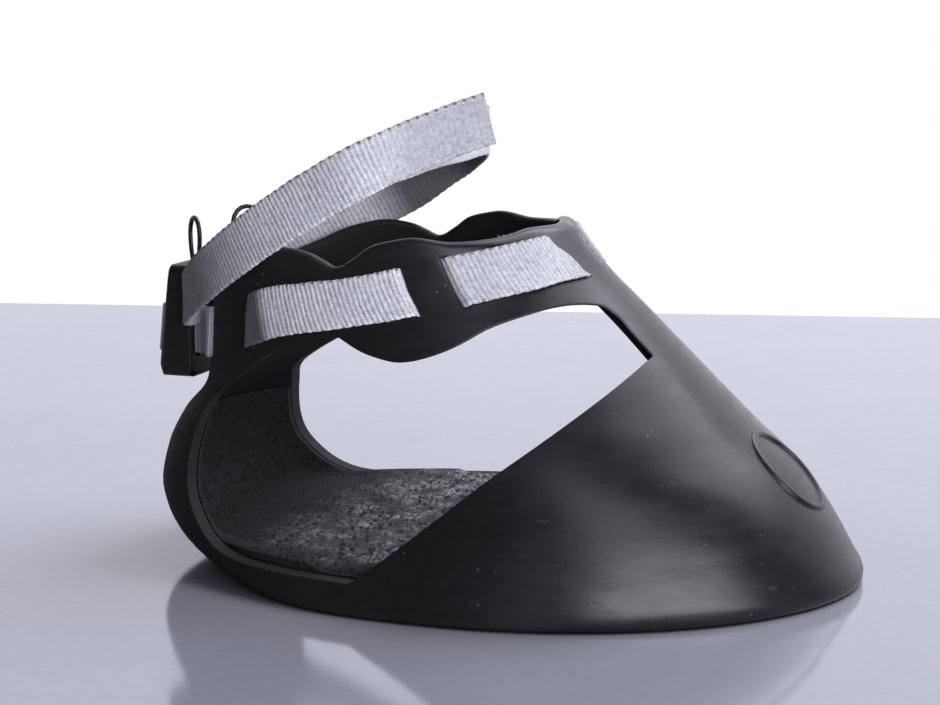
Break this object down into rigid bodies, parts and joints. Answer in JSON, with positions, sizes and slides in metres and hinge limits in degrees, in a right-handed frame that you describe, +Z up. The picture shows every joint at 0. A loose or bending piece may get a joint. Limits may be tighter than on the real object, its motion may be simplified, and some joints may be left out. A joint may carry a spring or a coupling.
{
  "type": "horse hoof boot",
  "caption": "Moulded open-sided hoof boot with a rounded toe cap, a webbing strap laced through its collar and a rising pastern strap held by a block at the heel.",
  "frame": {"origin": "on the ground under the middle of the sole", "axes": "+X points to the toe, +Z is up, -Y is the near side"},
  "size_m": [0.218, 0.1558, 0.14],
  "materials": {
    "moulding": "satin, near-black",
    "speckled_rubber": "matte, dark with grey speckles",
    "webbing": "woven silver grey",
    "hook_tape": "matte hook tape",
    "loop_tape": "matte loop tape",
    "block_plastic": "matte black",
    "coated_wire": "black coated wire"
  },
  "bodies": {
    "boot": {"shell": "moulding", "grip_pad": "speckled_rubber", "coronet_strap": "webbing", "heel_block": "block_plastic", "tail_hook_patch": "hook_tape", "pastern_anchor_near": "webbing", "pastern_anchor_far": "webbing", "pull_loop_near": "coated_wire", "pull_loop_far": "coated_wire", "loop_sleeve_near": "block_plastic", "loop_sleeve_far": "block_plastic"},
    "pastern_loop": {"pastern_strap_far": "webbing", "pastern_loop_patch": "loop_tape"},
    "pastern_end": {"pastern_strap_near": "webbing", "pastern_hook_patch": "hook_tape"},
    "strap_tail": {"coronet_tail": "webbing"}
  },
  "joints": [
    {"name": "pastern_pitch", "type": "hinge", "parent": "boot", "child": "pastern_loop", "pos_m": [-0.07851, 0, 0.10057], "axis": [0, -1, 0], "range_deg": [-12, 20]},
    {"name": "pastern_near_open", "type": "hinge", "parent": "pastern_loop", "child": "pastern_end", "pos_m": [-0.08504, -0.04149, 0.09671], "axis": [0.49, -0.2251, -0.8422], "range_deg": [0, 70]},
    {"name": "coronet_tail_peel", "type": "hinge", "parent": "boot", "child": "strap_tail", "pos_m": [-0.12943, -0.0061, 0.06528], "axis": [0.1035, 0, 0.9946], "range_deg": [0, 110]}
  ]
}
